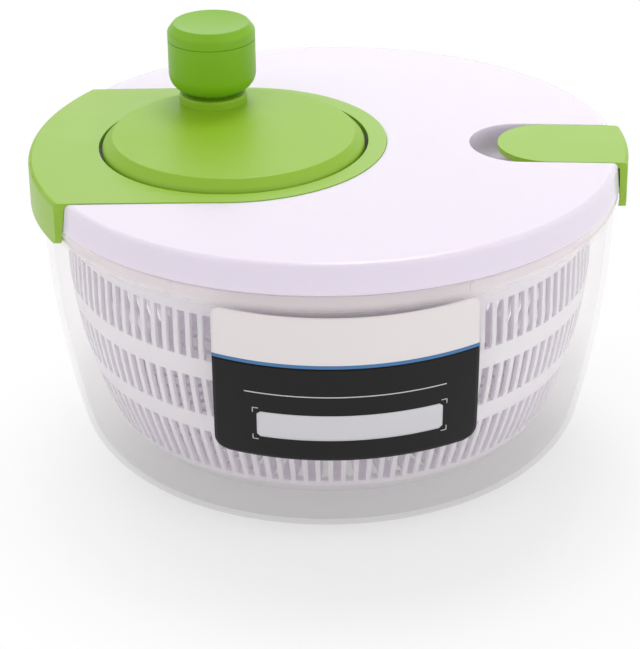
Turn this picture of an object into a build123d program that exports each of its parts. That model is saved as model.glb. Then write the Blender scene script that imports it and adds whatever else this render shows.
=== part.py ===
from build123d import *
from math import acos, cos, pi, radians, sin, sqrt, tan
import os

# Salad spinner: clear bowl, slotted basket, lid with a crank disc and a rocker latch.
# Millimetres. The origin is the centre of the bowl's base on the table, Z is up,
# X points to the latch and the front of the photograph is at negative Y.

# Bowl
bowl_height = 112.5
bowl_wall = 2.2
bowl_top_radius = 115.9
bowl_belly_radius = 111.3
bowl_belly_height = 51.0
bowl_heel_radius = 104.0
bowl_heel_height = 15.5
rim_flange_radius = 117.3
rim_flange_thickness = 3.7
rim_flange_round = 0.8
rim_tick_angle = 28.3
rim_tick_width = 1.4
rim_tick_depth = 0.3
foot_ring_width = 5.0
foot_ring_depth = 0.8
pivot_post_radius = 5.0
pivot_post_height = 18.9

# Basket
basket_wall = 1.8
basket_bottom = 13.1
basket_height = 96.0
basket_top_radius = 106.8
basket_waist_height = 80.5
basket_belly_radius = 100.4
basket_belly_height = 43.5
basket_heel_radius = 91.4
basket_heel_height = 18.7
basket_base_radius = 86.0
basket_rim_width = 1.4
basket_rim_height = 2.4
slot_count = 120
slot_share = 0.62
slot_rows = ((21.0, 41.4), (49.6, 67.3), (75.8, 95.0))
base_slot_rings = ((20.0, 44.0, 24), (51.0, 78.0, 48))
base_slot_width = 3.0
socket_wall = 3.2
drive_rib_count = 6
drive_rib_width = 3.2
drive_rib_depth = 2.6
drive_rib_height = 9.0

# Lid
lid_radius = 118.0
lid_edge_radius = 116.9
lid_skirt_height = 12.5
lid_crown = 1.2
lid_wall = 2.2
lid_edge_fillet = 2.0
lid_shadow_step = 0.7
lid_ring_thickness = 1.8
lid_ring_depth = 3.4
lid_ring_gap = 0.7

# Green trim panel and its tab
trim_thickness = 2.0
trim_stand = 0.35
trim_margin = 7.5
tab_drop = 5.2
tab_thickness = 2.4
tab_corner = 4.0
tab_edge_round = 1.6
tab_end_round = 0.9
trim_boss_radius = 3.2
trim_screw_length = 3.4

# Crank disc, its gears and the hub
gear_module = 1.25
ring_teeth = 77
pinion_teeth = 16
tooth_addendum = 0.95
tooth_dedendum = 1.15
ring_addendum = 0.75
gear_height = 5.8
ring_flange_thickness = 3.4
ring_rim = 2.0
disc_radius = 53.1
disc_plateau_radius = 49.0
disc_rise = 5.4
disc_bevel_height = 3.9
disc_edge_depth = 2.8
disc_edge_round = 3.0
disc_plateau_round = 0.6
disc_wall = 2.2
disc_crown = 0.5
hub_radius = 6.0
bearing_wall = 2.5
bearing_height = 9.0
ring_screw_count = 4
backlash = 0.12

# Knob
knob_crank_radius = 37.0
knob_angle = 106.6
knob_boss_radius = 14.1
knob_boss_height = 4.2
knob_boss_round = 1.0
knob_gap = 1.4
knob_radius = 18.1
knob_heel = 7.5
knob_body_height = 21.9
knob_cap_height = 6.9
knob_top_radius = 15.6
knob_top_round = 0.8
knob_shoulder_round = 2.2
knob_dish = 1.4
knob_wall = 2.2
knob_post_radius = 5.0
knob_hub_wall = 2.2
knob_seam_step = 0.3
knob_plug_depth = 3.0

# Drive plate and pinion shaft
plate_thickness = 2.0
plate_rim_width = 4.0
plate_rim_height = 4.4
plate_hub_radius = 9.0
shaft_radius = 5.0
spigot_across = 7.0
spigot_length = 5.0
thrust_height = 1.2

# Latch
latch_half_width = 20.0
latch_tip_x = 68.4
latch_thickness = 2.4
latch_lip_drop = 6.8
lip_swing_room = 0.8
latch_nub_height = 2.2
lip_corner = 2.0
latch_side_gap = 0.6
scoop_length = 11.4
recess_fillet = 5.0
latch_pin_radius = 1.5
latch_pin_x = 109.0
latch_pin_below = 5.6
latch_ear_width = 3.0
latch_ear_gap = 13.0
spring_x = 90.0
spring_radius = 3.4
spring_wire = 0.5
spring_turns = 4

# Screws and washers
screw_radius = 1.5
screw_head_radius = 3.0
screw_head_height = 1.9
screw_length = 8.0
washer_thickness = 1.0
washer_radius = 7.5

# Clearances
running_fit = 0.08
loose_fit = 0.4
pivot_fit = 0.75
seat_gap = 0.15
skirt_gap = 0.3
disc_gap = 1.4
screw_fit = 0.05
plate_side_gap = 0.6

# Heights and places that follow from the sizes above
lid_bottom = bowl_height
lid_edge_z = lid_bottom + lid_skirt_height
tab_inner_radius = lid_radius + skirt_gap
tab_outer_radius = tab_inner_radius + tab_thickness
dome_radius = (lid_edge_radius**2 + lid_crown**2) / (2 * lid_crown)
disc_x = -(ring_teeth - pinion_teeth) * gear_module / 2
disc_top = lid_edge_z + disc_rise
disc_underside = disc_top - disc_wall
well_radius = disc_radius + disc_gap
well_floor = lid_bottom + seat_gap
well_underside = well_floor - lid_wall
trim_arc_radius = well_radius + trim_margin
gear_bottom = well_floor + thrust_height
gear_top = gear_bottom + gear_height
ring_top = gear_top + loose_fit + ring_flange_thickness
ring_outer_radius = ring_teeth * gear_module / 2 + tooth_dedendum * gear_module + ring_rim
basket_rim = basket_bottom + basket_height
basket_inner_radius = basket_top_radius - basket_wall
bowl_inner_radius = bowl_top_radius - bowl_wall
plate_radius = basket_inner_radius - plate_side_gap
hub_end = well_underside - loose_fit
crank_screw_low = hub_end - washer_thickness - screw_head_height
plate_top = crank_screw_low - 2 * loose_fit
plate_bottom = plate_top - plate_thickness
shaft_end = well_underside - loose_fit
knob_x = disc_x + knob_crank_radius * cos(radians(knob_angle))
knob_y = knob_crank_radius * sin(radians(knob_angle))
knob_boss_top = disc_top + knob_boss_height
knob_bottom = knob_boss_top + knob_gap
knob_seam = knob_bottom + knob_body_height
knob_top = knob_seam + knob_cap_height
lip_bottom = lid_bottom - latch_lip_drop
latch_pin_z = lid_edge_z - latch_pin_below
recess_floor = lid_bottom + loose_fit + lid_wall
lid_ring_radius = bowl_inner_radius - lid_ring_gap
latch_notch = lid_edge_z - latch_thickness - 2 * loose_fit
knob_hub_top = knob_bottom + 0.62 * knob_body_height
knob_post_top = knob_hub_top + loose_fit
spring_height = lid_edge_z - latch_thickness - recess_floor - 2 * spring_wire


def dome_z(radius, drop=0.0):
    """Height of the lid's crowned top at a radius, or of that surface sunk by drop."""
    return lid_edge_z + lid_crown - drop - dome_radius + sqrt(dome_radius**2 - radius**2)


def tooth_points(teeth, tip_radius, root_radius, extra):
    """Outline of an involute gear with a tooth on the X axis; extra widens each tooth."""
    pressure = radians(20)
    pitch_radius = teeth * gear_module / 2
    base_radius = pitch_radius * cos(pressure)
    half = (pi * gear_module / 2 + extra) / (2 * pitch_radius)

    def half_angle(radius):
        lean = acos(base_radius / max(radius, base_radius))
        return half + tan(pressure) - pressure - tan(lean) + lean

    foot = max(root_radius, base_radius)
    flank = [foot, (foot + tip_radius) / 2, tip_radius]
    if root_radius < base_radius:
        flank.insert(0, root_radius)
    points = []
    for tooth in range(teeth):
        middle = 2 * pi * tooth / teeth
        for radius in flank:
            turn = middle - half_angle(radius)
            points.append((radius * cos(turn), radius * sin(turn)))
        for radius in reversed(flank):
            turn = middle + half_angle(radius)
            points.append((radius * cos(turn), radius * sin(turn)))
    return points


def ring_at(builder, radius, height):
    """The circular edge of a builder's part nearest to a radius and a height."""
    rounds = builder.edges().filter_by(GeomType.CIRCLE)
    return min(rounds, key=lambda e: abs(e.radius - radius) + abs(e.center().Z - height))


# Bowl: one clear moulding, walls curving in to a rounded heel, with a flange to carry
# the lid, four ticks on the flange and a post in the middle for the basket to turn on.
with BuildPart() as bowl:
    with BuildSketch(Plane.XZ):
        with BuildLine():
            wall = ThreePointArc(
                (bowl_heel_radius, bowl_heel_height),
                (bowl_belly_radius, bowl_belly_height),
                (bowl_top_radius, bowl_height),
            )
            lean = wall % 0
            heel = bowl_heel_height / (1 - lean.X)
            foot_radius = bowl_heel_radius - heel * lean.Y
            TangentArc((bowl_heel_radius, bowl_heel_height), (foot_radius, 0), tangent=-lean)
            Polyline((foot_radius, 0), (0, 0), (0, bowl_height), (bowl_top_radius, bowl_height))
        make_face()
    revolve(axis=Axis.Z)
    offset(amount=-bowl_wall, openings=bowl.faces().sort_by(Axis.Z)[-1])
    with BuildSketch(Plane.XY.offset(bowl_height - rim_flange_thickness)):
        Circle(rim_flange_radius)
        Circle(bowl_top_radius - bowl_wall / 2, mode=Mode.SUBTRACT)
    extrude(amount=rim_flange_thickness)
    fillet(ring_at(bowl, rim_flange_radius, bowl_height), rim_flange_round)
    for side in (1, -1):
        with BuildSketch(Plane.XY.offset(bowl_height - rim_flange_thickness)):
            with PolarLocations(rim_flange_radius, 2, start_angle=90 + side * rim_tick_angle):
                Rectangle(2 * rim_tick_depth, rim_tick_width)
        extrude(amount=rim_flange_thickness - rim_flange_round)
    with BuildSketch(Plane.XZ):
        Polygon(
            (0, bowl_wall / 2),
            (1.6 * pivot_post_radius, bowl_wall / 2),
            (pivot_post_radius, basket_bottom - 2 * loose_fit),
            (pivot_post_radius, pivot_post_height - 0.4 * pivot_post_radius),
            (0.6 * pivot_post_radius, pivot_post_height),
            (0, pivot_post_height),
            align=None,
        )
    revolve(axis=Axis.Z)
    with BuildSketch(Plane.XY):
        Circle(foot_radius - foot_ring_width)
    extrude(amount=foot_ring_depth, mode=Mode.SUBTRACT)

# Basket: a thin tapered shell, three rows of upright slots round the wall, two rings of
# slots in the floor, a socket over the bowl's post and ribs that the drive plate turns.
with BuildPart() as basket:
    with BuildSketch(Plane.XZ):
        with BuildLine():
            ThreePointArc(
                (basket_heel_radius, basket_heel_height),
                (basket_belly_radius, basket_belly_height),
                (basket_top_radius, basket_waist_height),
            )
            Polyline(
                (basket_top_radius, basket_waist_height),
                (basket_top_radius, basket_rim),
                (0, basket_rim),
                (0, basket_bottom),
                (basket_base_radius, basket_bottom),
                (basket_heel_radius, basket_heel_height),
            )
        make_face()
    revolve(axis=Axis.Z)
    offset(amount=-basket_wall, openings=basket.faces().sort_by(Axis.Z)[-1])
    with BuildSketch(Plane.XY.offset(basket_rim - basket_rim_height)):
        Circle(basket_top_radius + basket_rim_width)
        Circle(basket_top_radius - basket_wall / 2, mode=Mode.SUBTRACT)
    extrude(amount=basket_rim_height)
    with BuildSketch(Plane.XY.offset(basket_rim - drive_rib_height)):
        with PolarLocations(basket_inner_radius - drive_rib_depth / 2 + basket_wall / 4, drive_rib_count):
            Rectangle(drive_rib_depth + basket_wall / 2, drive_rib_width)
    extrude(amount=drive_rib_height - loose_fit)
    with BuildSketch(Plane.XY.offset(basket_bottom)):
        Circle(pivot_post_radius + socket_wall)
    extrude(amount=pivot_post_height + pivot_fit + basket_wall - basket_bottom)
    with BuildSketch(Plane.XY.offset(basket_bottom)):
        Circle(pivot_post_radius + pivot_fit)
    extrude(amount=pivot_post_height + pivot_fit - basket_bottom, mode=Mode.SUBTRACT)
    slot_half = radians(360 / slot_count * slot_share / 2)
    for slot_low, slot_high in slot_rows:
        near = basket_base_radius - 2 * basket_wall
        far = basket_top_radius + basket_rim_width + 1
        with BuildSketch(Plane.XY.offset(slot_low)):
            with PolarLocations(0, slot_count):
                Polygon(
                    (near, -near * tan(slot_half)),
                    (far, -far * tan(slot_half)),
                    (far, far * tan(slot_half)),
                    (near, near * tan(slot_half)),
                    align=None,
                )
        extrude(amount=slot_high - slot_low, mode=Mode.SUBTRACT)
    for ring_near, ring_far, ring_count in base_slot_rings:
        with BuildSketch(Plane.XY.offset(basket_bottom)):
            with PolarLocations((ring_near + ring_far) / 2, ring_count):
                Rectangle(ring_far - ring_near, base_slot_width)
        extrude(amount=basket_wall, mode=Mode.SUBTRACT)


def near_corner(builder, x, y):
    """The corner of a builder's sketch nearest to a point."""
    return min(builder.vertices(), key=lambda v: (v.X - x) ** 2 + (v.Y - y) ** 2)


def trim_outline(grow):
    """Plan of the trim: a round head about the crank disc run out straight past the rim."""
    half = trim_arc_radius + grow
    length = tab_outer_radius + 5 + disc_x
    with Locations((disc_x, 0)):
        Circle(half)
    with Locations((disc_x - length / 2, 0)):
        Rectangle(length, 2 * half)


def tongue_outline(tip_x, half):
    """Plan of the latch or its recess: a round tip run out straight past the rim."""
    length = tab_outer_radius + 5 - tip_x - half
    with Locations((tip_x + half, 0)):
        Circle(half)
    with Locations((tip_x + half + length / 2, 0)):
        Rectangle(length, 2 * half)


def dome_arc(radius, drop):
    """The lid's crowned line from the axis out to a radius, sunk by drop."""
    ThreePointArc(
        (0, dome_z(0, drop)),
        (radius / 2, dome_z(radius / 2, drop)),
        (radius, dome_z(radius, drop)),
    )


# Sunken seat: the slab of lid under the trim, one trim thickness below the top.
with BuildPart() as seat:
    slab_radius = lid_edge_radius - lid_wall / 2
    slab_low = trim_thickness + lid_wall
    with BuildSketch(Plane.XZ):
        with BuildLine():
            dome_arc(slab_radius, trim_thickness)
            Line(
                (slab_radius, dome_z(slab_radius, trim_thickness)),
                (slab_radius, dome_z(slab_radius, slab_low)),
            )
            dome_arc(slab_radius, slab_low)
            Line((0, dome_z(0, slab_low)), (0, dome_z(0, trim_thickness)))
        make_face()
    revolve(axis=Axis.Z)
    with BuildSketch(Plane.XY.offset(lid_bottom)):
        trim_outline(lid_wall)
    extrude(amount=2 * lid_skirt_height, mode=Mode.INTERSECT)

# Space the trim takes out of the lid: its plan, from the sunken seat upward.
with BuildPart() as trim_space:
    reach = tab_outer_radius + 10
    with BuildSketch(Plane.XY.offset(lid_bottom)):
        trim_outline(0)
    extrude(amount=2 * lid_skirt_height)
    with BuildSketch(Plane.XZ):
        with BuildLine():
            dome_arc(reach, trim_thickness)
            Polyline(
                (reach, dome_z(reach, trim_thickness)),
                (reach, lid_bottom - 1),
                (0, lid_bottom - 1),
                (0, dome_z(0, trim_thickness)),
            )
        make_face()
    revolve(axis=Axis.Z, mode=Mode.SUBTRACT)

# Space of the latch recess: floor with a rounded edge so that a finger slides in.
recess_half = latch_half_width + latch_side_gap
recess_tip = latch_tip_x - scoop_length
with BuildPart() as recess_space:
    with BuildSketch(Plane.XY.offset(recess_floor)):
        tongue_outline(recess_tip, recess_half)
    extrude(amount=2 * lid_skirt_height)
    fillet(recess_space.faces().sort_by(Axis.Z)[0].edges(), recess_fillet)
    with BuildSketch(Plane.XY.offset(recess_floor)):
        Circle(lid_edge_radius - lid_wall)
    extrude(amount=2 * lid_skirt_height, mode=Mode.INTERSECT)

# Lid shell: a crowned top with a skirt, sunk where the green trim lies, with a round well
# for the crank disc, a recess for the latch and a ring underneath that plugs the bowl.
trim_screw_spots = []
for turn, spread in ((120, 7.5), (160, 12.0)):
    for side in (1, -1):
        away = well_radius + lid_wall + spread
        trim_screw_spots.append((disc_x + away * cos(radians(turn)), side * away * sin(radians(turn))))

with BuildPart() as lid_shell:
    with BuildSketch(Plane.XZ):
        with BuildLine():
            dome_arc(lid_edge_radius, 0)
            Polyline(
                (lid_edge_radius, lid_edge_z),
                (lid_radius, lid_bottom),
                (0, lid_bottom),
                (0, dome_z(0)),
            )
        make_face()
    revolve(axis=Axis.Z)
    offset(amount=-lid_wall, openings=lid_shell.faces().sort_by(Axis.Z)[0])
    fillet(ring_at(lid_shell, lid_edge_radius, lid_edge_z), lid_edge_fillet)
    with BuildSketch(Plane.XY.offset(lid_bottom)):
        Circle(lid_radius + 1)
        Circle(rim_flange_radius - loose_fit, mode=Mode.SUBTRACT)
    extrude(amount=lid_shadow_step, mode=Mode.SUBTRACT)
    with BuildSketch(Plane.XY.offset(lid_bottom - lid_ring_depth)):
        Circle(lid_ring_radius)
        Circle(lid_ring_radius - lid_ring_thickness, mode=Mode.SUBTRACT)
    extrude(amount=lid_ring_depth + lid_skirt_height - lid_wall)
    add(seat.part)
    with BuildSketch(Plane.XY.offset(well_underside)):
        with Locations((disc_x, 0)):
            Circle(well_radius + lid_wall)
    extrude(amount=dome_z(well_radius + lid_wall - disc_x, trim_thickness) - seat_gap - well_underside)
    with BuildSketch(Plane.XY.offset(recess_floor - lid_wall)):
        tongue_outline(recess_tip - lid_wall, recess_half + lid_wall)
        Circle(lid_edge_radius - lid_wall / 2, mode=Mode.INTERSECT)
    extrude(amount=dome_z(lid_edge_radius) - lid_wall / 2 - recess_floor + lid_wall)
    add(trim_space.part, mode=Mode.SUBTRACT)
    add(recess_space.part, mode=Mode.SUBTRACT)
    with BuildSketch(Plane.XY.offset(latch_notch)):
        with Locations((lid_radius, 0)):
            Rectangle(8 * lid_wall, 2 * recess_half)
    extrude(amount=lid_skirt_height, mode=Mode.SUBTRACT)
    with BuildSketch(Plane.XY.offset(well_floor)):
        with Locations((disc_x, 0)):
            Circle(well_radius)
    extrude(amount=2 * lid_skirt_height, mode=Mode.SUBTRACT)
    with BuildSketch(Plane.XY.offset(well_underside)):
        with Locations((disc_x, 0)):
            Circle(hub_radius + running_fit + bearing_wall)
    extrude(amount=lid_wall + bearing_height)
    with BuildSketch(Plane.XY.offset(well_underside)):
        Circle(shaft_radius + running_fit + bearing_wall)
    extrude(amount=lid_wall + thrust_height)
    with BuildSketch(Plane.XY.offset(well_underside)):
        with Locations((disc_x, 0)):
            Circle(hub_radius + running_fit)
        Circle(shaft_radius + running_fit)
    extrude(amount=2 * lid_skirt_height, mode=Mode.SUBTRACT)
    with BuildSketch(Plane.XY.offset(lid_bottom)):
        with Locations(*trim_screw_spots):
            Circle(trim_boss_radius + screw_fit)
    extrude(amount=2 * lid_skirt_height, mode=Mode.SUBTRACT)
    with BuildSketch(Plane.XZ):
        with Locations((latch_pin_x, latch_pin_z)):
            Circle(latch_pin_radius + screw_fit)
    extrude(amount=recess_half + 2 * lid_wall, both=True, mode=Mode.SUBTRACT)
    with BuildSketch(Plane.XY.offset(recess_floor - lid_wall / 2)):
        with Locations((spring_x, 0)):
            Circle(spring_radius - 2 * spring_wire - loose_fit)
    extrude(amount=lid_wall / 2 + 2.0)

# Trim: the green panel about the disc, run to the left rim and folded down over it.
with BuildPart() as lid_trim:
    tab_bottom = lid_bottom - tab_drop
    edge_inner = lid_edge_radius + skirt_gap
    with BuildSketch(Plane.XZ) as trim_section:
        with BuildLine():
            dome_arc(tab_outer_radius, -trim_stand)
            Polyline(
                (tab_outer_radius, dome_z(tab_outer_radius, -trim_stand)),
                (tab_outer_radius, tab_bottom),
                (tab_inner_radius, tab_bottom),
                (tab_inner_radius, lid_bottom),
                (edge_inner, dome_z(edge_inner, trim_thickness)),
            )
            dome_arc(edge_inner, trim_thickness)
            Line((0, dome_z(0, trim_thickness)), (0, dome_z(0, -trim_stand)))
        make_face()
        fillet(near_corner(trim_section, tab_outer_radius, dome_z(tab_outer_radius)), tab_edge_round)
        fillet(near_corner(trim_section, tab_outer_radius, tab_bottom), tab_end_round)
        fillet(near_corner(trim_section, tab_inner_radius, tab_bottom), tab_end_round)
    revolve(axis=Axis.Z)
    with BuildSketch(Plane.XY.offset(tab_bottom - 1)):
        trim_outline(-seat_gap)
        with Locations((disc_x, 0)):
            Circle(well_radius, mode=Mode.SUBTRACT)
    extrude(amount=3 * lid_skirt_height, mode=Mode.INTERSECT)
    with BuildSketch(Plane.YZ):
        with Locations((0, tab_bottom + 2 * lid_skirt_height)):
            RectangleRounded(2 * (trim_arc_radius - seat_gap), 4 * lid_skirt_height, tab_corner)
    extrude(amount=2 * tab_outer_radius, both=True, mode=Mode.INTERSECT)
    for spot_x, spot_y in trim_screw_spots:
        seat_top = dome_z(sqrt(spot_x**2 + spot_y**2), trim_thickness)
        with BuildSketch(Plane.XY.offset(seat_top - lid_wall + 2 * screw_fit)):
            with Locations((spot_x, spot_y)):
                Circle(trim_boss_radius)
        extrude(amount=lid_wall + trim_thickness / 2)
        with BuildSketch(Plane.XY.offset(seat_top - lid_wall)):
            with Locations((spot_x, spot_y)):
                Circle(screw_radius + screw_fit)
        extrude(amount=trim_screw_length, mode=Mode.SUBTRACT)

# Trim screws: short wide-headed screws, up through the lid into the trim's bosses.
with BuildPart() as trim_screws:
    for spot_x, spot_y in trim_screw_spots:
        head_top = dome_z(sqrt(spot_x**2 + spot_y**2), trim_thickness + lid_wall) - seat_gap
        with BuildSketch(Plane.XY.offset(head_top - screw_head_height)):
            with Locations((spot_x, spot_y)):
                Circle(1.5 * screw_head_radius)
        extrude(amount=screw_head_height)
        with BuildSketch(Plane.XY.offset(head_top)):
            with Locations((spot_x, spot_y)):
                Circle(screw_radius)
        extrude(amount=trim_screw_length - seat_gap)
        with BuildSketch(Plane.XY.offset(head_top - screw_head_height)):
            with Locations((spot_x, spot_y)):
                Rectangle(2 * screw_radius, screw_radius / 3)
                Rectangle(screw_radius / 3, 2 * screw_radius)
        extrude(amount=screw_head_height / 2, mode=Mode.SUBTRACT)


def crank_plane(height):
    """A level plane whose origin is on the crank disc's axis."""
    return Plane(origin=(disc_x, 0, height))


def knob_plane(height):
    """A level plane whose origin is on the knob's axis."""
    return Plane(origin=(knob_x, knob_y, height))


def screw(spot, head_end, length, upward=True):
    """A cross-recessed pan-head screw: where it is, its head's outer end and its shank."""
    way = 1 if upward else -1
    with Locations((spot[0], spot[1], head_end + way * screw_head_height / 2)):
        Cylinder(screw_head_radius, screw_head_height)
    with Locations((spot[0], spot[1], head_end + way * (screw_head_height + length / 2))):
        Cylinder(screw_radius, length)
    with Locations((spot[0], spot[1], head_end + way * screw_head_height / 4)):
        Box(2 * screw_radius, screw_radius / 3, screw_head_height / 2, mode=Mode.SUBTRACT)
        Box(screw_radius / 3, 2 * screw_radius, screw_head_height / 2, mode=Mode.SUBTRACT)


# Crank disc: a bevelled green disc, thin underneath, with a shouldered hub that turns in
# the lid, bosses for the ring gear, and the boss and post that carry the knob.
crank_axis = Axis((disc_x, 0, 0), (0, 0, 1))
ring_tip_radius = ring_teeth * gear_module / 2 - ring_addendum * gear_module
ring_screw_circle = ring_tip_radius - screw_head_radius - 3 * loose_fit
with BuildPart() as crank_disc:
    disc_bottom = disc_top - disc_bevel_height - disc_edge_depth
    disc_plane = Plane(origin=(disc_x, 0, 0), x_dir=(1, 0, 0), z_dir=(0, -1, 0))
    with BuildSketch(disc_plane) as disc_section:
        with BuildLine():
            ThreePointArc(
                (0, disc_top + disc_crown),
                (disc_plateau_radius / 2, disc_top + 0.75 * disc_crown),
                (disc_plateau_radius, disc_top),
            )
            Polyline(
                (disc_plateau_radius, disc_top),
                (disc_radius, disc_top - disc_bevel_height),
                (disc_radius, disc_bottom),
                (disc_radius - disc_wall, disc_bottom),
                (disc_radius - disc_wall, disc_top - disc_bevel_height - disc_wall / 3),
                (disc_plateau_radius - disc_wall / 2, disc_underside),
                (0, disc_underside),
                (0, disc_top + disc_crown),
            )
        make_face()
        fillet(near_corner(disc_section, disc_plateau_radius, disc_top), disc_plateau_round)
        fillet(near_corner(disc_section, disc_radius, disc_top - disc_bevel_height), disc_edge_round)
    revolve(axis=crank_axis)
    with BuildSketch(crank_plane(ring_top)):
        with PolarLocations(ring_screw_circle, ring_screw_count):
            Circle(screw_head_radius)
    extrude(amount=disc_top - disc_wall / 2 - ring_top)
    with BuildSketch(crank_plane(well_floor + bearing_height)):
        Circle(hub_radius + bearing_wall)
    extrude(amount=disc_top - disc_wall / 2 - well_floor - bearing_height)
    with BuildSketch(crank_plane(hub_end)):
        Circle(hub_radius)
    extrude(amount=well_floor + bearing_height + disc_wall - hub_end)
    with BuildSketch(crank_plane(hub_end)):
        Circle(screw_radius + screw_fit)
    extrude(amount=screw_length + 1, mode=Mode.SUBTRACT)
    with BuildSketch(crank_plane(ring_top)):
        with PolarLocations(ring_screw_circle, ring_screw_count):
            Circle(screw_radius + screw_fit)
    extrude(amount=0.8 * (disc_underside - ring_top), mode=Mode.SUBTRACT)
    with BuildSketch(knob_plane(disc_underside)):
        Circle(knob_boss_radius)
    extrude(amount=knob_boss_top - disc_underside)
    fillet(ring_at(crank_disc, knob_boss_radius, knob_boss_top), knob_boss_round)
    with BuildSketch(knob_plane(knob_boss_top)):
        Circle(knob_post_radius)
    extrude(amount=knob_post_top - knob_boss_top)
    with BuildSketch(knob_plane(knob_post_top - screw_length - 1)):
        Circle(screw_radius + screw_fit)
    extrude(amount=screw_length + 1, mode=Mode.SUBTRACT)

# Ring gear: internal teeth that drive the pinion, under a flange screwed to the disc.
with BuildPart() as ring_gear:
    ring_inner = ring_screw_circle - screw_head_radius - 3 * loose_fit
    ring_root = ring_teeth * gear_module / 2 + tooth_dedendum * gear_module
    with BuildSketch(crank_plane(gear_bottom)):
        Circle(ring_outer_radius)
        with BuildLine():
            Polyline(*tooth_points(ring_teeth, ring_root, ring_tip_radius, backlash), close=True)
        make_face(mode=Mode.SUBTRACT)
    extrude(amount=gear_height + loose_fit)
    with BuildSketch(crank_plane(gear_top + loose_fit)):
        Circle(ring_outer_radius)
        Circle(ring_inner, mode=Mode.SUBTRACT)
    extrude(amount=ring_flange_thickness)
    with BuildSketch(crank_plane(gear_top + loose_fit)):
        with PolarLocations(ring_screw_circle, ring_screw_count):
            Circle(screw_radius + screw_fit)
    extrude(amount=ring_flange_thickness, mode=Mode.SUBTRACT)
    with BuildSketch(crank_plane(gear_top + loose_fit)):
        with PolarLocations(ring_screw_circle, ring_screw_count):
            Circle(screw_head_radius + seat_gap)
    extrude(amount=screw_head_height + seat_gap, mode=Mode.SUBTRACT)

# Ring gear screws: heads sunk in the flange so that the pinion passes under them.
with BuildPart() as ring_gear_screws:
    for index in range(ring_screw_count):
        turn = 2 * pi * index / ring_screw_count
        spot = (disc_x + ring_screw_circle * cos(turn), ring_screw_circle * sin(turn))
        bite = 0.7 * (disc_underside - ring_top)
        screw(spot, gear_top + loose_fit + seat_gap, bite + ring_flange_thickness / 2)

# Crank washer and screw: hold the disc's hub up against the underside of the lid's well.
with BuildPart() as crank_washer:
    with BuildSketch(crank_plane(hub_end - washer_thickness)):
        Circle(washer_radius)
        Circle(screw_radius + 2 * screw_fit, mode=Mode.SUBTRACT)
    extrude(amount=washer_thickness)

with BuildPart() as crank_screw:
    screw((disc_x, 0), hub_end - washer_thickness - screw_head_height, screw_length)

# Knob body: a round-heeled cup with a hub that turns on the crank's post.
knob_axis = Axis((knob_x, knob_y, 0), (0, 0, 1))
with BuildPart() as knob_body:
    with BuildSketch(Plane(origin=(knob_x, knob_y, 0), x_dir=(1, 0, 0), z_dir=(0, -1, 0))):
        with BuildLine():
            Polyline((0, knob_seam), (0, knob_bottom), (knob_radius - knob_heel, knob_bottom))
            RadiusArc(
                (knob_radius - knob_heel, knob_bottom),
                (knob_radius, knob_bottom + knob_heel),
                -knob_heel,
            )
            Polyline((knob_radius, knob_bottom + knob_heel), (knob_radius, knob_seam), (0, knob_seam))
        make_face()
    revolve(axis=knob_axis)
    offset(amount=-knob_wall, openings=knob_body.faces().sort_by(Axis.Z)[-1])
    with BuildSketch(knob_plane(knob_boss_top)):
        Circle(knob_post_radius + running_fit + 2 * knob_hub_wall)
    extrude(amount=knob_gap + knob_wall / 2)
    with BuildSketch(knob_plane(knob_bottom)):
        Circle(knob_post_radius + running_fit + knob_hub_wall)
    extrude(amount=knob_hub_top - knob_bottom)
    with BuildSketch(knob_plane(knob_boss_top)):
        Circle(knob_post_radius + running_fit)
    extrude(amount=knob_body_height, mode=Mode.SUBTRACT)

# Knob washer and screw: keep the knob on its post.
with BuildPart() as knob_washer:
    with BuildSketch(knob_plane(knob_post_top)):
        Circle(washer_radius)
        Circle(screw_radius + 2 * screw_fit, mode=Mode.SUBTRACT)
    extrude(amount=washer_thickness)

with BuildPart() as knob_screw:
    screw((knob_x, knob_y), knob_post_top + washer_thickness + screw_head_height, screw_length, upward=False)

# Knob cap: the bevelled, dished top that plugs into the body and hides the screw.
with BuildPart() as knob_cap:
    plug_radius = knob_radius - knob_wall - screw_fit
    shoulder_z = knob_top - 1.3 * (knob_radius - knob_top_radius)
    with BuildSketch(Plane(origin=(knob_x, knob_y, 0), x_dir=(1, 0, 0), z_dir=(0, -1, 0))) as cap_section:
        with BuildLine():
            ThreePointArc(
                (0, knob_top - knob_dish),
                (knob_top_radius / 2, knob_top - 0.75 * knob_dish),
                (knob_top_radius, knob_top),
            )
            Polyline(
                (knob_top_radius, knob_top),
                (knob_radius, shoulder_z),
                (knob_radius, knob_seam + knob_seam_step),
                (knob_radius - knob_seam_step, knob_seam),
                (plug_radius, knob_seam),
                (plug_radius, knob_seam - knob_plug_depth),
                (plug_radius - knob_wall, knob_seam - knob_plug_depth),
                (plug_radius - knob_wall, knob_top - knob_dish - knob_wall),
                (0, knob_top - knob_dish - knob_wall),
                (0, knob_top - knob_dish),
            )
        make_face()
        fillet(near_corner(cap_section, knob_radius, shoulder_z), knob_shoulder_round)
        fillet(near_corner(cap_section, knob_top_radius, knob_top), knob_top_round)
    revolve(axis=knob_axis)

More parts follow.
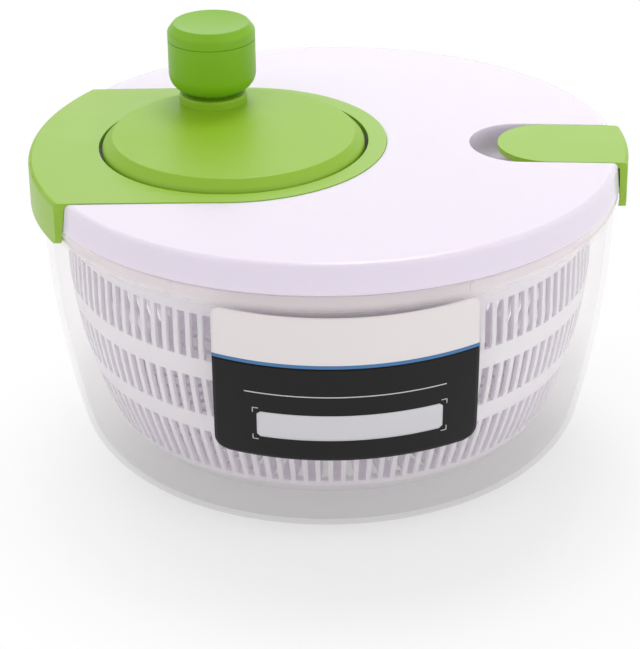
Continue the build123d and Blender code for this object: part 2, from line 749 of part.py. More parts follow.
# Pinion: sixteen teeth on the lid's centre line, with a shaft down through the well floor
# that ends in a six-sided spigot for the drive plate.
with BuildPart() as pinion:
    pinion_pitch = pinion_teeth * gear_module / 2
    with BuildSketch(Plane.XY.offset(gear_bottom)):
        with BuildLine():
            Polyline(
                *tooth_points(
                    pinion_teeth,
                    pinion_pitch + tooth_addendum * gear_module,
                    pinion_pitch - tooth_dedendum * gear_module,
                    -backlash,
                ),
                close=True,
            )
        make_face()
    extrude(amount=gear_height)
    with BuildSketch(Plane.XY.offset(shaft_end)):
        Circle(shaft_radius)
    extrude(amount=gear_bottom - shaft_end)
    with BuildSketch(Plane.XY.offset(shaft_end - spigot_length)):
        RegularPolygon(spigot_across / 2, 6, major_radius=False)
    extrude(amount=spigot_length)
    with BuildSketch(Plane.XY.offset(shaft_end - spigot_length)):
        Circle(screw_radius + screw_fit)
    extrude(amount=screw_length + 1, mode=Mode.SUBTRACT)

# Drive plate: a dished disc in the basket's mouth, notched to sit over the basket's ribs.
with BuildPart() as drive_plate:
    with BuildSketch(Plane.XY.offset(plate_bottom)):
        Circle(plate_radius)
    extrude(amount=plate_thickness)
    with BuildSketch(Plane.XY.offset(plate_bottom)):
        Circle(plate_radius)
        Circle(plate_radius - plate_rim_width, mode=Mode.SUBTRACT)
    extrude(amount=plate_rim_height)
    with BuildSketch(Plane.XY.offset(plate_bottom)):
        Circle(plate_hub_radius)
    extrude(amount=shaft_end - plate_bottom)
    with BuildSketch(Plane.XY.offset(plate_bottom - plate_thickness)):
        with PolarLocations((plate_radius + plate_hub_radius) / 2, drive_rib_count):
            Rectangle(plate_radius - plate_hub_radius - 2 * plate_rim_width, plate_thickness)
    extrude(amount=1.5 * plate_thickness)
    with BuildSketch(Plane.XY.offset(plate_bottom - plate_thickness)):
        with PolarLocations(plate_radius, drive_rib_count):
            Rectangle(2 * (drive_rib_depth - plate_side_gap + loose_fit), drive_rib_width + 2 * loose_fit)
    extrude(amount=plate_rim_height + 2 * plate_thickness, mode=Mode.SUBTRACT)
    with BuildSketch(Plane.XY.offset(plate_bottom)):
        RegularPolygon(spigot_across / 2 + screw_fit, 6, major_radius=False)
    extrude(amount=shaft_end - plate_bottom, mode=Mode.SUBTRACT)

# Driver washer and screw: clamp the drive plate to the pinion's spigot from below.
with BuildPart() as driver_washer:
    with BuildSketch(Plane.XY.offset(plate_bottom - washer_thickness)):
        Circle(washer_radius)
        Circle(screw_radius + 2 * screw_fit, mode=Mode.SUBTRACT)
    extrude(amount=washer_thickness)

with BuildPart() as driver_screw:
    screw((0, 0), plate_bottom - washer_thickness - screw_head_height, screw_length)

# Latch: a green rocker, its tongue flush with the lid and its lip down over the rim.
# Pressing the tongue's tip into the recess swings the lip and its nub off the bowl.
with BuildPart() as latch:
    lip_top_inner = lid_edge_radius + lip_swing_room
    nub_inner = rim_flange_radius + loose_fit
    with BuildSketch(Plane.XZ) as latch_section:
        with BuildLine():
            dome_arc(tab_outer_radius, 0)
            Polyline(
                (tab_outer_radius, dome_z(tab_outer_radius)),
                (tab_outer_radius, lip_bottom),
                (nub_inner, lip_bottom),
                (nub_inner, lip_bottom + latch_nub_height / 2),
                (tab_inner_radius, lip_bottom + latch_nub_height),
                (tab_inner_radius, lid_bottom),
                (lip_top_inner, dome_z(lip_top_inner, latch_thickness)),
            )
            dome_arc(lip_top_inner, latch_thickness)
            Line((0, dome_z(0, latch_thickness)), (0, dome_z(0)))
        make_face()
        fillet(near_corner(latch_section, tab_outer_radius, dome_z(tab_outer_radius)), tab_edge_round)
        fillet(near_corner(latch_section, tab_outer_radius, lip_bottom), tab_end_round)
    revolve(axis=Axis.Z)
    with BuildSketch(Plane.XY.offset(lip_bottom - 1)):
        tongue_outline(latch_tip_x, latch_half_width)
    extrude(amount=3 * lid_skirt_height, mode=Mode.INTERSECT)
    with BuildSketch(Plane.YZ):
        with Locations((0, lip_bottom + 2 * lid_skirt_height)):
            RectangleRounded(2 * latch_half_width, 4 * lid_skirt_height, lip_corner)
    extrude(amount=2 * tab_outer_radius, both=True, mode=Mode.INTERSECT)
    ear_radius = 2 * latch_pin_radius
    ear_top = dome_z(latch_pin_x, latch_thickness / 2)
    with BuildSketch(Plane.XZ):
        with Locations((latch_pin_x, latch_pin_z)):
            Circle(ear_radius)
        with Locations((latch_pin_x, (latch_pin_z + ear_top) / 2)):
            Rectangle(2 * ear_radius, ear_top - latch_pin_z)
    extrude(amount=latch_ear_gap + latch_ear_width, both=True)
    ear_under = dome_z(latch_pin_x - ear_radius, latch_thickness) - loose_fit
    with BuildSketch(Plane.XZ):
        with Locations((latch_pin_x, ear_under - 2 * ear_radius)):
            Rectangle(4 * ear_radius, 4 * ear_radius)
    extrude(amount=latch_ear_gap, both=True, mode=Mode.SUBTRACT)
    with BuildSketch(Plane.XZ):
        with Locations((latch_pin_x, latch_pin_z)):
            Circle(latch_pin_radius + running_fit)
    extrude(amount=latch_half_width, both=True, mode=Mode.SUBTRACT)

# Latch pin: a steel pin through the recess walls that the latch rocks on.
with BuildPart() as latch_pin:
    with BuildSketch(Plane.XZ):
        with Locations((latch_pin_x, latch_pin_z)):
            Circle(latch_pin_radius)
    extrude(amount=recess_half + lid_wall - loose_fit, both=True)


def coil_point(quarter):
    """A point on the spring's centre line, counted in quarter turns."""
    turn = quarter * pi / 2
    rise = spring_height * quarter / (4 * spring_turns)
    reach = spring_radius - spring_wire
    return (spring_x + reach * cos(turn), reach * sin(turn), recess_floor + spring_wire + rise)


# Latch spring: a short coil between the recess floor and the tongue.
with BuildPart() as latch_spring:
    with BuildLine() as coil:
        for quarter in range(4 * spring_turns):
            ThreePointArc(coil_point(quarter), coil_point(quarter + 0.5), coil_point(quarter + 1))
    with BuildSketch(Plane(origin=coil.line @ 0, z_dir=coil.line % 0)):
        Circle(spring_wire)
    sweep(path=coil.line)

os.makedirs("parts", exist_ok=True)
pieces = {
    "bowl": bowl,
    "basket": basket,
    "lid_shell": lid_shell,
    "lid_trim": lid_trim,
    "trim_screws": trim_screws,
    "latch_pin": latch_pin,
    "latch_spring": latch_spring,
    "latch": latch,
    "crank_disc": crank_disc,
    "ring_gear": ring_gear,
    "ring_gear_screws": ring_gear_screws,
    "crank_washer": crank_washer,
    "crank_screw": crank_screw,
    "knob_washer": knob_washer,
    "knob_screw": knob_screw,
    "knob_body": knob_body,
    "knob_cap": knob_cap,
    "pinion": pinion,
    "drive_plate": drive_plate,
    "driver_washer": driver_washer,
    "driver_screw": driver_screw,
}
for name, piece in pieces.items():
    piece.part.label = name
    export_step(piece.part, f"parts/{name}.step")
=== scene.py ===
import math

import bmesh
import bpy
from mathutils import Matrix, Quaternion, Vector


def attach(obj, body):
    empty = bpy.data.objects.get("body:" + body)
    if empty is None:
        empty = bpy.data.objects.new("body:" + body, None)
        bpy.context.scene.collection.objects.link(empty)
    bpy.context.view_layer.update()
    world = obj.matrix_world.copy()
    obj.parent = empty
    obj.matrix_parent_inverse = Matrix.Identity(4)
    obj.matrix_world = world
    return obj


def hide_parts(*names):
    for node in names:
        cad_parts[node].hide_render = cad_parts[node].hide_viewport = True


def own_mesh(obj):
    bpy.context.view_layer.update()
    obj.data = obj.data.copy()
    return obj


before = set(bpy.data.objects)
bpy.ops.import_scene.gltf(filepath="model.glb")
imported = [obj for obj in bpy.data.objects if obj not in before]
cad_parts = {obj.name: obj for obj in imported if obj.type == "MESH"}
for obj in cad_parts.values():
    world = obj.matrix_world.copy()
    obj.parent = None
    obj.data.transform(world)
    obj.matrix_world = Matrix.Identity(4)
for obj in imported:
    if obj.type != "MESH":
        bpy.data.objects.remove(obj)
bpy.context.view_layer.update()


# Bowl: one moulding of clear plastic with a little haze in it, denser at the thick heel and the rim, and
# a painted shade that greys the heel for the shadowed floor seen through it.
# Moulded in one shot; its rim flange carries the lid and its foot ring stands on the table.
def grained(name, face, shade, rough, grain, depth):
    """A plain finish: a slow drift of colour, uneven gloss and a fine tool grain."""
    uneven = 0.15
    mat = bpy.data.materials.new(name)
    mat.use_nodes = True
    nodes, links = mat.node_tree.nodes, mat.node_tree.links
    skin = nodes["Principled BSDF"]
    place = nodes.new("ShaderNodeTexCoord")
    drift = nodes.new("ShaderNodeTexNoise")
    drift.inputs["Scale"].default_value = 14
    drift.inputs["Detail"].default_value = 3
    tint = nodes.new("ShaderNodeMix")
    tint.data_type = "RGBA"
    tint.inputs["A"].default_value = (*face, 1)
    tint.inputs["B"].default_value = (*shade, 1)
    gloss = nodes.new("ShaderNodeTexNoise")
    gloss.inputs["Scale"].default_value = 70
    gloss.inputs["Detail"].default_value = 4
    span = nodes.new("ShaderNodeMapRange")
    span.inputs["To Min"].default_value = rough * (1 - uneven)
    span.inputs["To Max"].default_value = rough * (1 + uneven)
    pitted = nodes.new("ShaderNodeTexNoise")
    pitted.inputs["Scale"].default_value = grain
    pitted.inputs["Detail"].default_value = 2
    bump = nodes.new("ShaderNodeBump")
    bump.inputs["Strength"].default_value = depth
    bump.inputs["Distance"].default_value = 0.0003
    for pattern in (drift, gloss, pitted):
        links.new(place.outputs["Object"], pattern.inputs["Vector"])
    links.new(drift.outputs["Fac"], tint.inputs["Factor"])
    links.new(tint.outputs["Result"], skin.inputs["Base Color"])
    links.new(gloss.outputs["Fac"], span.inputs["Value"])
    links.new(span.outputs["Result"], skin.inputs["Roughness"])
    links.new(pitted.outputs["Fac"], bump.inputs["Height"])
    links.new(bump.outputs["Normal"], skin.inputs["Normal"])
    return mat


def dress(node, mat):
    """Gives a CAD node one material."""
    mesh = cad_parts[node].data
    mesh.materials.clear()
    mesh.materials.append(mat)


# Heights at which the haze of the heel and of the rim starts, and at which it is full; the heel's
# painted shade grows over the heel's heights too.
heel_heights, rim_heights = (0.050, 0.004), (0.103, 0.108)


def let_light_through(mat, head_on, edge_on, heel, rim, heel_painted_shade):
    """Makes the bowl see-through: a faint haze, denser edge on, at its thick heel and at its rim, and a
    painted shade that greys the heel for the shadowed floor behind it.
    """
    edge_power = 4
    nodes, links = mat.node_tree.nodes, mat.node_tree.links
    skin = nodes["Principled BSDF"]
    place = nodes.new("ShaderNodeTexCoord")
    axes = nodes.new("ShaderNodeSeparateXYZ")
    links.new(place.outputs["Object"], axes.inputs["Vector"])

    def rising(heights, most):
        """Goes smoothly from 0 at the first height to most at the second."""
        near = nodes.new("ShaderNodeMapRange")
        near.interpolation_type = "SMOOTHSTEP"
        near.inputs["From Min"].default_value, near.inputs["From Max"].default_value = heights
        near.inputs["To Max"].default_value = most
        links.new(axes.outputs["Z"], near.inputs["Value"])
        return near.outputs["Result"]

    turned = nodes.new("ShaderNodeLayerWeight")
    steep = nodes.new("ShaderNodeMath")
    steep.operation = "POWER"
    steep.inputs[1].default_value = edge_power
    haze = nodes.new("ShaderNodeMapRange")
    haze.inputs["To Min"].default_value = head_on
    haze.inputs["To Max"].default_value = edge_on
    links.new(turned.outputs["Facing"], steep.inputs[0])
    links.new(steep.outputs["Value"], haze.inputs["Value"])
    total = haze.outputs["Result"]
    for heights, share in ((heel_heights, heel), (rim_heights, rim)):
        both = nodes.new("ShaderNodeMath")
        both.operation = "ADD"
        both.use_clamp = True
        links.new(total, both.inputs[0])
        links.new(rising(heights, share), both.inputs[1])
        total = both.outputs["Value"]
    links.new(total, skin.inputs["Alpha"])
    # Painted shade: the heel's colour turns grey, standing in for the shadowed floor seen through it.
    heel_shade_tint = nodes.new("ShaderNodeMix")
    heel_shade_tint.data_type = "RGBA"
    heel_shade_tint.inputs["B"].default_value = (*heel_painted_shade, 1)
    links.new(rising(heel_heights, 1.0), heel_shade_tint.inputs["Factor"])
    links.new(skin.inputs["Base Color"].links[0].from_socket, heel_shade_tint.inputs["A"])
    links.new(heel_shade_tint.outputs["Result"], skin.inputs["Base Color"])


clear_plastic = grained("clear_plastic", (0.97, 0.905, 0.905), (0.96, 0.895, 0.895), 0.14, 300, 0.02)
let_light_through(clear_plastic, 0.04, 0.25, 0.13, 0.45, (0.64, 0.625, 0.62))
dress("bowl", clear_plastic)


# Label: the thin printed film stuck on the bowl's front, bent round its wall.
# A pale upper field, a blue stripe and a black lower field with a thin rule and a blank box.
label_wide, label_low, label_split, label_high = 0.1038, 0.0400, 0.0816, 0.1031
label_thin, label_turn, label_rise = 0.00012, math.radians(5.0), 0.75
top_corner, bottom_corner, stripe_tall = 0.0035, 0.0055, 0.0014
rule_middle, rule_wide, rule_low, rule_high = -0.0006, 0.0774, 0.0690, 0.0694
box_middle, box_wide, box_low, box_high, box_corner = 0.0011, 0.0714, 0.0494, 0.0608, 0.0014
tick_gap, tick_long, tick_wide = 0.0016, 0.0022, 0.0003
row_tall, col_wide = 0.0012, 0.0015
field_layer, mark_layer = 1, 2
pale, black, blue, white = range(4)
label_flat = bmesh.new()
ink_of = label_flat.faces.layers.int.new("ink")


def film(middle, wide, low, high, corner_low, corner_high, layer, ink):
    """A flat slab of film with rounded corners, cut in rows and columns so that it can bend."""
    rows, cols = max(2, round((high - low) / row_tall)), max(2, round(wide / col_wide))
    sheets = []
    for depth in (layer - 1, layer):
        sheet = []
        for row in range(rows + 1):
            z = low + (high - low) * row / rows
            inset = 0.0
            for edge, radius in ((z - low, corner_low), (high - z, corner_high)):
                if edge < radius:
                    inset = max(inset, radius - math.sqrt(radius**2 - (radius - edge) ** 2))
            half = wide / 2 - inset
            line = [middle + half * (2 * col / cols - 1) for col in range(cols + 1)]
            sheet.append([label_flat.verts.new((x, -depth * label_thin, z)) for x in line])
        sheets.append(sheet)
    back, front = sheets
    faces, edges = [], []
    for row in range(rows):
        for col in range(cols):
            faces.append((
                front[row][col],
                front[row][col + 1],
                front[row + 1][col + 1],
                front[row + 1][col],
            ))
            faces.append((
                back[row][col],
                back[row + 1][col],
                back[row + 1][col + 1],
                back[row][col + 1],
            ))
        edges.append((front[row][0], front[row + 1][0], back[row + 1][0], back[row][0]))
        edges.append((front[row + 1][cols], front[row][cols], back[row][cols], back[row + 1][cols]))
    for col in range(cols):
        edges.append((front[0][col + 1], front[0][col], back[0][col], back[0][col + 1]))
        edges.append((front[rows][col], front[rows][col + 1], back[rows][col + 1], back[rows][col]))
    for group, rounded in ((faces, True), (edges, False)):
        for corners in group:
            face = label_flat.faces.new(corners)
            face[ink_of] = ink
            face.smooth = rounded


film(0, label_wide, label_split, label_high, 0, top_corner, field_layer, pale)
film(0, label_wide, label_low, label_split, bottom_corner, 0, field_layer, black)
film(0, label_wide, label_split, label_split + stripe_tall, 0, 0, mark_layer, blue)
film(rule_middle, rule_wide, rule_low, rule_high, 0, 0, mark_layer, white)
film(box_middle, box_wide, box_low, box_high, box_corner, box_corner, mark_layer, white)
for side in (-1, 1):
    across = box_middle + side * (box_wide / 2 + tick_gap)
    for corner, rise in ((box_low - tick_gap, 1), (box_high + tick_gap, -1)):
        low, high = sorted((corner, corner + rise * tick_long))
        film(across, tick_wide, low, high, 0, 0, mark_layer, white)
        low, high = sorted((corner, corner + rise * tick_wide))
        film(across - side * tick_long / 2, tick_long, low, high, 0, 0, mark_layer, white)
label_mesh = bpy.data.meshes.new("label")
label_flat.to_mesh(label_mesh)
label_flat.free()
label = bpy.data.objects.new("label", label_mesh)
bpy.context.scene.collection.objects.link(label)


def set_sheen(mat, level):
    """Sets how strongly a finish mirrors what is round it."""
    mat.node_tree.nodes["Principled BSDF"].inputs["Specular IOR Level"].default_value = level


ink_grain, ink_depth, ink_sheen = 600, 0.02, 0.2
inks = []
for name, face, shade, rough in (
    ("Pale", (0.88, 0.83, 0.83), (0.86, 0.81, 0.81), 0.38),
    ("Black", (0.010, 0.009, 0.009), (0.014, 0.013, 0.013), 0.36),
    ("Blue", (0.085, 0.240, 0.480), (0.075, 0.215, 0.440), 0.36),
    ("White", (0.72, 0.71, 0.74), (0.69, 0.68, 0.71), 0.40),
):
    ink = grained("label_" + name.lower(), face, shade, rough, ink_grain, ink_depth)
    set_sheen(ink, ink_sheen)
    inks.append((name, ink))


def arc_through(first, second, third):
    """Centre radius, centre height and arc radius of the bowl wall's curve through three points."""
    (x1, y1), (x2, y2), (x3, y3) = first, second, third
    d = 2 * (x1 * (y2 - y3) + x2 * (y3 - y1) + x3 * (y1 - y2))
    s1, s2, s3 = x1 * x1 + y1 * y1, x2 * x2 + y2 * y2, x3 * x3 + y3 * y3
    cx = (s1 * (y2 - y3) + s2 * (y3 - y1) + s3 * (y1 - y2)) / d
    cy = (s1 * (x3 - x2) + s2 * (x1 - x3) + s3 * (x2 - x1)) / d
    return cx, cy, math.hypot(x1 - cx, y1 - cy)


# The tree bends the flat film: X runs round the wall, Z runs up it and Y stands off it.
bowl_wall = ((0.1040, 0.0155), (0.1113, 0.0510), (0.1159, 0.1125))
wrap_sizes = dict(zip(("Centre", "Height", "Arc"), arc_through(*bowl_wall)))
wrap_sizes.update({"Turn": label_turn, "Rise": label_rise})
wrap = bpy.data.node_groups.new("wrap_on_bowl", "GeometryNodeTree")
wrap.interface.new_socket("Film", in_out="INPUT", socket_type="NodeSocketGeometry")
wrap_inputs = {}
for name in wrap_sizes:
    wrap_inputs[name] = wrap.interface.new_socket(name, in_out="INPUT", socket_type="NodeSocketFloat")
for name, ink in inks:
    wrap_inputs[name] = wrap.interface.new_socket(name, in_out="INPUT", socket_type="NodeSocketMaterial")
wrap.interface.new_socket("Wrapped", in_out="OUTPUT", socket_type="NodeSocketGeometry")
given = wrap.nodes.new("NodeGroupInput")


def sum_node(operation, first, second=None):
    """One Math node of the wrap tree; each value is a socket or a number."""
    node = wrap.nodes.new("ShaderNodeMath")
    node.operation = operation
    for socket, value in zip(node.inputs, (first, second)):
        if isinstance(value, bpy.types.NodeSocket):
            wrap.links.new(value, socket)
        elif value is not None:
            socket.default_value = value
    return node.outputs["Value"]


flat_place = wrap.nodes.new("GeometryNodeInputPosition")
flat = wrap.nodes.new("ShaderNodeSeparateXYZ")
wrap.links.new(flat_place.outputs["Position"], flat.inputs["Vector"])
across_square = sum_node("MULTIPLY", flat.outputs["X"], flat.outputs["X"])
ends_up = sum_node("MULTIPLY", given.outputs["Rise"], across_square)
level = sum_node("ADD", flat.outputs["Z"], ends_up)
above = sum_node("SUBTRACT", level, given.outputs["Height"])
arc_square = sum_node("MULTIPLY", given.outputs["Arc"], given.outputs["Arc"])
bulge = sum_node("SQRT", sum_node("SUBTRACT", arc_square, sum_node("MULTIPLY", above, above)))
wall = sum_node("ADD", given.outputs["Centre"], bulge)
reach = sum_node("SUBTRACT", wall, flat.outputs["Y"])
turn = sum_node("ADD", given.outputs["Turn"], sum_node("DIVIDE", flat.outputs["X"], wall))
towards = sum_node("MULTIPLY", reach, -1)
bent = wrap.nodes.new("ShaderNodeCombineXYZ")
wrap.links.new(sum_node("MULTIPLY", reach, sum_node("SINE", turn)), bent.inputs["X"])
wrap.links.new(sum_node("MULTIPLY", towards, sum_node("COSINE", turn)), bent.inputs["Y"])
wrap.links.new(level, bent.inputs["Z"])
moved = wrap.nodes.new("GeometryNodeSetPosition")
wrap.links.new(given.outputs["Film"], moved.inputs["Geometry"])
wrap.links.new(bent.outputs["Vector"], moved.inputs["Position"])
realized = wrap.nodes.new("GeometryNodeRealizeInstances")
wrap.links.new(moved.outputs["Geometry"], realized.inputs["Geometry"])
printed = realized.outputs["Geometry"]
which = wrap.nodes.new("GeometryNodeInputNamedAttribute")
which.data_type = "INT"
which.inputs["Name"].default_value = "ink"
for number, (name, ink) in enumerate(inks):
    is_this = wrap.nodes.new("FunctionNodeCompare")
    is_this.data_type = "INT"
    is_this.operation = "EQUAL"
    wrap.links.new(which.outputs["Attribute"], is_this.inputs["A"])
    is_this.inputs["B"].default_value = number
    paint = wrap.nodes.new("GeometryNodeSetMaterial")
    wrap.links.new(printed, paint.inputs["Geometry"])
    wrap.links.new(is_this.outputs["Result"], paint.inputs["Selection"])
    wrap.links.new(given.outputs[name], paint.inputs["Material"])
    printed = paint.outputs["Geometry"]
wrapped = wrap.nodes.new("NodeGroupOutput")
wrap.links.new(printed, wrapped.inputs["Wrapped"])

bending = label.modifiers.new("wrap", "NODES")
bending.node_group = wrap
for name, value in (*wrap_sizes.items(), *inks):
    bending[wrap_inputs[name].identifier] = value
seen = bpy.context.evaluated_depsgraph_get()
label.data = bpy.data.meshes.new_from_object(label.evaluated_get(seen), depsgraph=seen)
label.modifiers.remove(bending)
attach(label, "bowl")


# Basket: thin white polypropylene moulding, slotted all round and in its floor, satin from the tool.
# It drops on the bowl's centre post and is turned by the ribs inside its rim.
def glow_through(mat, depth):
    """Lets light soak a little way into a thin white wall, as natural polypropylene does."""
    skin = mat.node_tree.nodes["Principled BSDF"]
    skin.inputs["Subsurface Weight"].default_value = 0.85
    skin.inputs["Subsurface Radius"].default_value = (1.0, 0.95, 1.0)
    skin.inputs["Subsurface Scale"].default_value = depth


basket_white = grained("basket_white", (0.97, 0.905, 1.0), (0.96, 0.895, 0.99), 0.35, 420, 0.05)
glow_through(basket_white, 0.003)
dress("basket", basket_white)


# Driver: the pale drive plate in the basket's mouth, on the hard pinion's six-sided end.
# A plated screw and washer clamp it from below.
plate_pale = grained("plate_pale", (0.80, 0.80, 0.81), (0.76, 0.76, 0.77), 0.40, 380, 0.05)
gear_natural = grained("gear_natural", (0.78, 0.77, 0.72), (0.73, 0.72, 0.67), 0.45, 500, 0.04)
plated_steel = grained("plated_steel", (0.60, 0.60, 0.61), (0.50, 0.50, 0.51), 0.28, 900, 0.05)
plated_steel.node_tree.nodes["Principled BSDF"].inputs["Metallic"].default_value = 1.0
dress("drive_plate", plate_pale)
dress("pinion", gear_natural)
dress("driver_washer", plated_steel)
dress("driver_screw", plated_steel)


# Lid: the glossy white cover, a shade cooler than the basket, with the sunken seat for the
# trim, the well for the crank disc and the latch recess all in the one moulding.
lid_white = grained("lid_white", (0.875, 0.805, 0.965), (0.865, 0.795, 0.955), 0.16, 300, 0.02)
glow_through(lid_white, 0.002)
dress("lid_shell", lid_white)


# Trim: the green panel round the crank disc with its tab folded over the rim.
# Satin moulding, screwed up from inside the lid by four plated screws.
spring_green, green_shade = (0.300, 0.545, 0.010), (0.285, 0.520, 0.009)
green_grain, green_depth, green_sheen = 340, 0.06, 0.76
trim_green = grained("trim_green", spring_green, green_shade, 0.36, green_grain, green_depth)
set_sheen(trim_green, green_sheen)
dress("lid_trim", trim_green)
dress("trim_screws", plated_steel)


# Crank: the bevelled green disc with its hub, and the ring gear screwed under it.
# The hub turns in the lid's bearing and is held by a plated washer and screw.
crank_green = grained("crank_green", spring_green, green_shade, 0.46, green_grain, green_depth)
set_sheen(crank_green, green_sheen)
dress("crank_disc", crank_green)
dress("ring_gear", gear_natural)
dress("ring_gear_screws", plated_steel)
dress("crank_washer", plated_steel)
dress("crank_screw", plated_steel)


# Knob: a cup and a dished cap in a darker copy of the green, painted shade for its upright sides,
# turning on the crank's post.
# A plated washer and screw inside keep it on; the cap is pressed in over them.
knob_shaded_face, knob_shade, knob_sheen = (0.235, 0.505, 0.010), (0.220, 0.480, 0.009), 0.45
# Painted shade: the knob's green is darker and less yellow than the other green pieces, for the shade on
# its upright sides.
knob_shaded_green = grained("knob_shaded_green", knob_shaded_face, knob_shade, 0.40, green_grain, green_depth)
set_sheen(knob_shaded_green, knob_sheen)
dress("knob_body", knob_shaded_green)
dress("knob_cap", knob_shaded_green)
dress("knob_washer", plated_steel)
dress("knob_screw", plated_steel)


# Latch: the green rocker, on a steel pin across the recess, with its lip folded over the rim.
# Its tongue lies flush with the lid, over a small coil spring that shortens as it is pressed.
latch_green = grained("latch_green", spring_green, green_shade, 0.36, green_grain, green_depth)
set_sheen(latch_green, green_sheen)
dress("latch", latch_green)
dress("latch_pin", plated_steel)

# Pressed all the way, the latch turns by latch_travel; the coil is the CAD spring's mesh, doubled points
# merged, hung on the lid.
latch_travel, coil_room, same_point = math.radians(10), 0.0003, 1e-7
coil_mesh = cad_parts["latch_spring"].data.copy()
coil_form = bmesh.new()
coil_form.from_mesh(coil_mesh)
bmesh.ops.remove_doubles(coil_form, verts=coil_form.verts, dist=same_point)
coil_form.to_mesh(coil_mesh)
coil_form.free()
coil_mesh.materials.clear()
coil_mesh.materials.append(plated_steel)
coil = bpy.data.objects.new("latch_coil", coil_mesh)
bpy.context.scene.collection.objects.link(coil)
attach(coil, "lid")
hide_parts("latch_spring")
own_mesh(coil)


# Studio: a plain pale floor, a white surround and soft lamps, none of it part of the object.
# The floor keeps the soft shadow near the bowl and runs out to white further off.
floor_size, floor_drop = 6.0, 0.0002
shadow_middle = (0.02, -0.05, 0)
plain_white = (1, 1, 1, 1)
floor_mesh = bpy.data.meshes.new("floor")
floor_form = bmesh.new()
bmesh.ops.create_grid(floor_form, x_segments=1, y_segments=1, size=floor_size)
floor_form.to_mesh(floor_mesh)
floor_form.free()
floor = bpy.data.objects.new("floor", floor_mesh)
floor.location.z = -floor_drop
bpy.context.scene.collection.objects.link(floor)


def most_of(nodes, links, *values):
    """The largest of several values, each one a socket."""
    largest = values[0]
    for value in values[1:]:
        larger = nodes.new("ShaderNodeMath")
        larger.operation = "MAXIMUM"
        links.new(largest, larger.inputs[0])
        links.new(value, larger.inputs[1])
        largest = larger.outputs["Value"]
    return largest


def seen_directly(nodes, links):
    """1 for a ray of the camera, of a mirror or of something clear, and 0 for the light itself."""
    rays = nodes.new("ShaderNodeLightPath").outputs
    kinds = ("Is Camera Ray", "Is Glossy Ray", "Is Transmission Ray")
    return most_of(nodes, links, *(rays[kind] for kind in kinds))


floor_paint = bpy.data.materials.new("floor_paint")
floor_paint.use_nodes = True
floor_nodes, floor_links = floor_paint.node_tree.nodes, floor_paint.node_tree.links
floor_skin = floor_nodes["Principled BSDF"]
floor_skin.inputs["Base Color"].default_value = (0.93, 0.925, 0.93, 1)
floor_skin.inputs["Roughness"].default_value = 0.8
floor_skin.inputs["Specular IOR Level"].default_value = 0.2
floor_glow = floor_nodes.new("ShaderNodeEmission")
floor_glow.inputs["Color"].default_value = plain_white
floor_glow.inputs["Strength"].default_value = 1.0
floor_place = floor_nodes.new("ShaderNodeTexCoord")
floor_reach = floor_nodes.new("ShaderNodeVectorMath")
floor_reach.operation = "DISTANCE"
floor_reach.inputs[1].default_value = shadow_middle
floor_fade = floor_nodes.new("ShaderNodeMapRange")
floor_fade.interpolation_type = "SMOOTHSTEP"
floor_fade.inputs["From Min"].default_value = 0.07
floor_fade.inputs["From Max"].default_value = 0.19
floor_fade.inputs["To Min"].default_value = 0.55
floor_fade.inputs["To Max"].default_value = 1.0
floor_share = floor_nodes.new("ShaderNodeMath")
floor_share.operation = "MULTIPLY"
floor_mix = floor_nodes.new("ShaderNodeMixShader")
floor_links.new(floor_place.outputs["Object"], floor_reach.inputs[0])
floor_links.new(floor_reach.outputs["Value"], floor_fade.inputs["Value"])
floor_links.new(floor_fade.outputs["Result"], floor_share.inputs[0])
floor_links.new(seen_directly(floor_nodes, floor_links), floor_share.inputs[1])
floor_links.new(floor_share.outputs["Value"], floor_mix.inputs["Fac"])
floor_links.new(floor_skin.outputs["BSDF"], floor_mix.inputs[1])
floor_links.new(floor_glow.outputs["Emission"], floor_mix.inputs[2])
floor_links.new(floor_mix.outputs["Shader"], floor_nodes["Material Output"].inputs["Surface"])
floor_mesh.materials.append(floor_paint)

# The surround is white to the eye; what the glossy pieces mirror is darker in front than behind.
surround = bpy.data.worlds.new("surround")
surround.use_nodes = True
bpy.context.scene.world = surround
sky_nodes, sky_links = surround.node_tree.nodes, surround.node_tree.links
sky_fill = sky_nodes["Background"]
sky_fill.inputs["Color"].default_value = plain_white
sky_fill.inputs["Strength"].default_value = 0.66
sky_white = sky_nodes.new("ShaderNodeBackground")
sky_white.inputs["Color"].default_value = plain_white
sky_way = sky_nodes.new("ShaderNodeTexCoord")
sky_axes = sky_nodes.new("ShaderNodeSeparateXYZ")
sky_room = sky_nodes.new("ShaderNodeMapRange")
sky_room.inputs["From Min"].default_value = -0.7
sky_room.inputs["From Max"].default_value = 0.85
sky_room.inputs["To Min"].default_value = 0.12
sky_room.inputs["To Max"].default_value = 1.0
sky_rays = sky_nodes.new("ShaderNodeLightPath")
sky_mix = sky_nodes.new("ShaderNodeMixShader")
sky_links.new(sky_way.outputs["Generated"], sky_axes.inputs["Vector"])
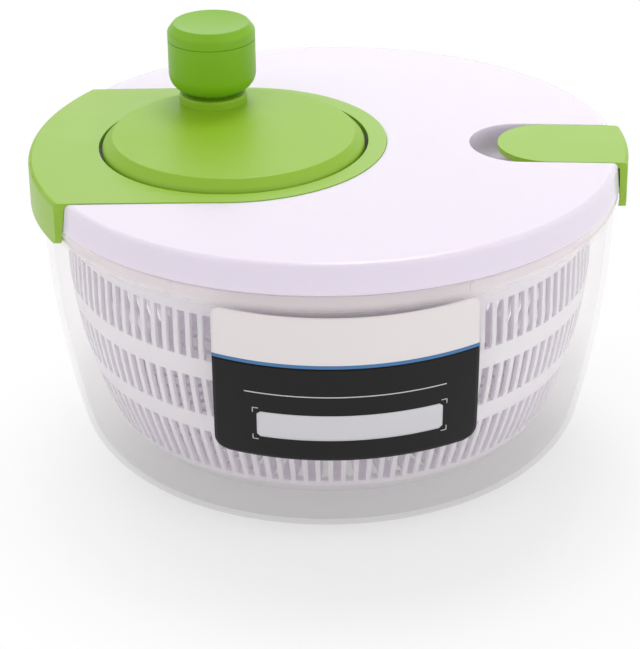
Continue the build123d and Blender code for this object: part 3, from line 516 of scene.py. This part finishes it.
sky_links.new(sky_axes.outputs["Y"], sky_room.inputs["Value"])
sky_links.new(
    most_of(sky_nodes, sky_links, sky_rays.outputs["Is Camera Ray"], sky_room.outputs["Result"]),
    sky_white.inputs["Strength"],
)
sky_links.new(seen_directly(sky_nodes, sky_links), sky_mix.inputs["Fac"])
sky_links.new(sky_fill.outputs["Background"], sky_mix.inputs[1])
sky_links.new(sky_white.outputs["Background"], sky_mix.inputs[2])
sky_links.new(sky_mix.outputs["Shader"], sky_nodes["World Output"].inputs["Surface"])

lamp_aim = Vector((0, 0, 0.08))


def lamp(name, place, power, wide):
    """A square soft lamp aimed at the middle of the bowl."""
    light = bpy.data.lights.new(name, "AREA")
    light.energy = power
    light.size = wide
    holder = bpy.data.objects.new(name, light)
    holder.location = place
    holder.rotation_mode = "QUATERNION"
    holder.rotation_quaternion = (lamp_aim - Vector(place)).to_track_quat("-Z", "Y")
    holder.visible_camera = False
    bpy.context.scene.collection.objects.link(holder)


lamp("top_lamp", (0.15, 0.55, 1.40), 4.2, 0.5)
lamp("back_lamp", (0.10, 1.50, 0.85), 2.4, 1.2)
lamp("left_lamp", (-1.3, -0.7, 0.9), 3.6, 1.5)
lamp("right_lamp", (1.2, -0.8, 0.8), 5.2, 1.5)

camera_data = bpy.data.cameras.new("camera")
camera_data.sensor_width = 36.0
camera_data.lens = 133.95
camera = bpy.data.objects.new("camera", camera_data)
camera.location = (0.0285, -0.9077, 0.4901)
pitch, heading, roll = math.radians(26.175), math.radians(2.068), math.radians(-0.813)
forward = Vector((
    -math.sin(heading) * math.cos(pitch),
    math.cos(heading) * math.cos(pitch),
    -math.sin(pitch),
))
camera.rotation_mode = "QUATERNION"
camera.rotation_quaternion = forward.to_track_quat("-Z", "Y") @ Quaternion((0, 0, 1), roll)
bpy.context.scene.collection.objects.link(camera)
bpy.context.scene.camera = camera
bpy.context.scene.view_settings.view_transform = "Standard"
bpy.context.scene.cycles.diffuse_bounces = 10  # light passes to and fro inside the white basket
